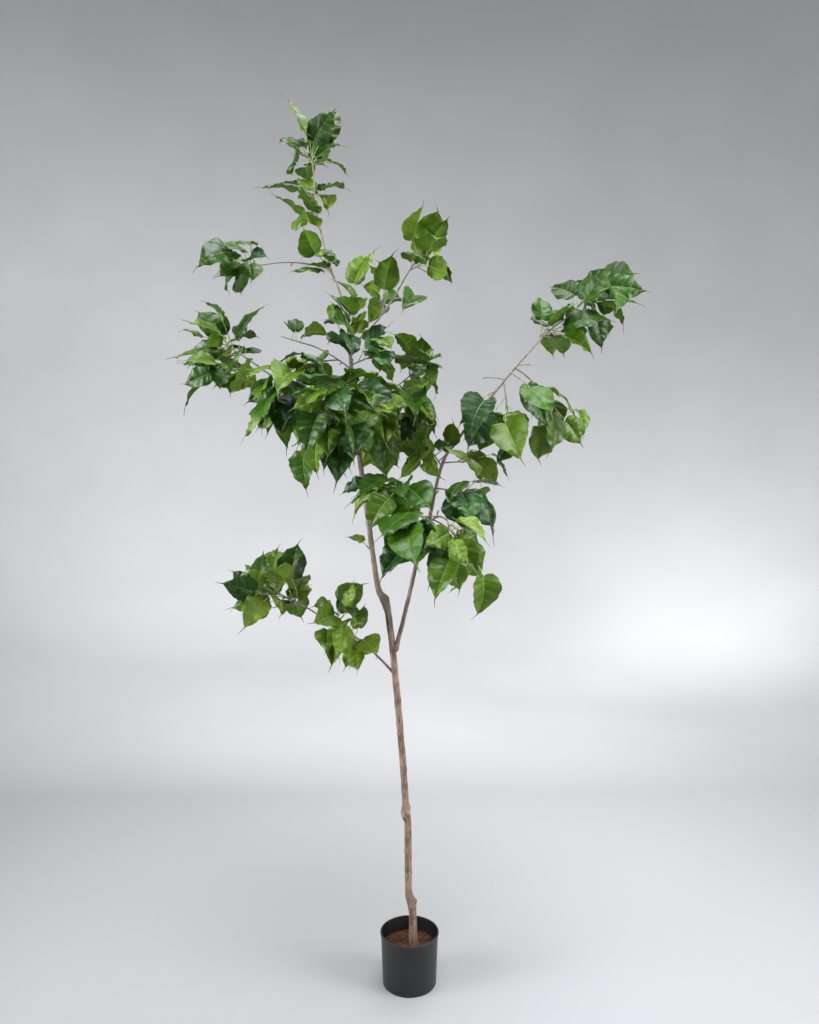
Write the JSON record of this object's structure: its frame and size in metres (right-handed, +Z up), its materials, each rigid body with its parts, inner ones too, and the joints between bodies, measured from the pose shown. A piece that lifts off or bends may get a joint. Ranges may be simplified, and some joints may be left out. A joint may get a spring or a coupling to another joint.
{
  "type": "artificial bodhi tree",
  "caption": "Tall artificial bodhi tree with a thin forked trunk and loose heart-shaped leaves with long drip tips, set in a small round plastic nursery pot.",
  "frame": {"origin": "centre of the pot's flat underside, on the floor", "axes": "+Z up along the tree, +X to the right of the tree's front, -Y out of its front"},
  "size_m": [1.3101, 0.8501, 2.4942],
  "materials": {
    "pot": "satin moulded black",
    "cement": "rough cast",
    "cover": "loose brown fibre",
    "bark": "dry matte bark",
    "foliage_deep": "glossy coated",
    "foliage_green": "glossy coated",
    "foliage_dark": "glossy coated",
    "foliage_light": "satin coated"
  },
  "bodies": {
    "root": {"pot": "pot", "cement_fill": "cement", "soil_cover": "cover", "trunk": "bark", "upper_stem": "bark", "leader_twig": "bark", "right_leader": "bark", "bough_left_high": "bark", "bough_right_high": "bark", "bough_left_twig": "bark", "bough_left_mid": "bark", "bough_front": "bark", "bough_back": "bark", "bough_centre_right": "bark", "bough_low_left": "bark", "bough_right_front": "bark", "tuft_top": "foliage_deep", "tuft_second": "foliage_green", "tuft_third": "foliage_dark", "tuft_fourth": "foliage_light", "spray_left_high": "foliage_deep", "spray_back_high": "foliage_green", "spray_right_top": "foliage_dark", "spray_right_in": "foliage_light", "spray_right_out": "foliage_deep", "tuft_stem": "foliage_green", "spray_stem_right": "foliage_dark", "spray_left_twig": "foliage_light", "spray_left_dark": "foliage_deep", "spray_left_up": "foliage_green", "spray_left_out": "foliage_dark", "spray_left_in": "foliage_light", "spray_front": "foliage_deep", "spray_front_low": "foliage_green", "spray_hanging": "foliage_dark", "spray_right_mid": "foliage_light", "spray_low_far": "foliage_deep", "spray_low_left": "foliage_green", "spray_low_right": "foliage_dark", "leaf_on_trunk": "foliage_light", "spray_right_head": "foliage_deep", "spray_right_left": "foliage_green", "spray_right_fore": "foliage_dark", "spray_right_drop": "foliage_light", "spray_right_foot": "foliage_deep", "spray_mid_left": "foliage_green", "spray_mid_centre": "foliage_dark", "spray_mid_right": "foliage_light", "spray_mid_end": "foliage_deep", "spray_high_low": "foliage_green", "spray_high_end": "foliage_dark", "spray_left_under": "foliage_light", "spray_inner_right": "foliage_deep", "spray_right_under": "foliage_green", "spray_right_side": "foliage_dark", "spray_mid_low": "foliage_light", "spray_back": "foliage_deep", "spray_back_left": "foliage_green", "spray_back_low": "foliage_dark"}
  },
  "joints": []
}
